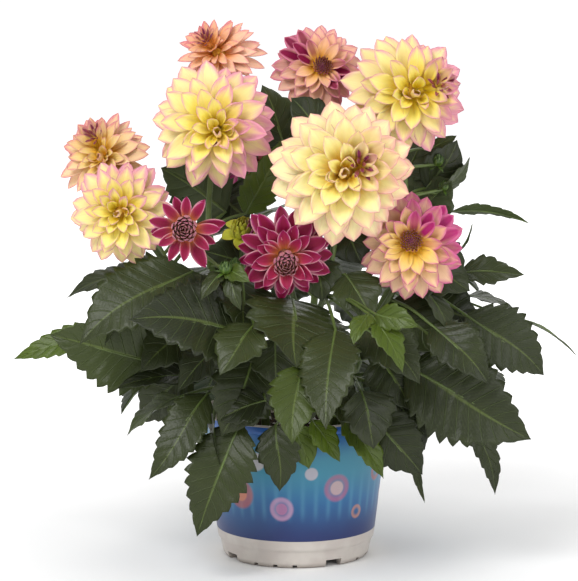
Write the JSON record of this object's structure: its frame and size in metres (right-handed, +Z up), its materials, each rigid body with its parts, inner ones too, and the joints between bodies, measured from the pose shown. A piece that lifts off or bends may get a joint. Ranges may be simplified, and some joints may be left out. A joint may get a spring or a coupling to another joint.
{
  "type": "potted dahlia",
  "caption": "Bushy flowering dahlia with large layered bicolour heads over coarse-toothed green leaves, standing in a tapered round white nursery pot with a printed band.",
  "frame": {"origin": "on the floor, on the pot's axis, in the plane of the pot's foot", "axes": "+Z up along the pot's axis, +X to the plant's right as it is pictured, -Y towards the viewer and the fullest side"},
  "size_m": [0.456, 0.36, 0.4273],
  "materials": {
    "pot_plastic": "satin",
    "potting_soil": "matte",
    "foliage": "satin",
    "petals_cream": "matte",
    "petals_yellow": "matte",
    "petals_peach": "matte",
    "petals_pink": "matte",
    "petals_magenta": "matte"
  },
  "bodies": {
    "root": {"pot": "pot_plastic", "soil": "potting_soil", "shoot_left": "foliage", "shoot_front_left": "foliage", "shoot_front": "foliage", "shoot_front_right": "foliage", "shoot_right": "foliage", "shoot_back": "foliage", "shoot_back_left": "foliage", "head_centre": "petals_cream", "head_upper_left": "petals_yellow", "head_top_right": "petals_yellow", "head_left": "petals_yellow", "head_far_left": "petals_peach", "head_right": "petals_pink", "head_top_left": "petals_peach", "head_top_middle": "petals_pink", "head_low": "petals_magenta", "head_opening": "petals_magenta", "head_behind": "petals_magenta", "head_half_open": "petals_yellow"}
  },
  "joints": []
}
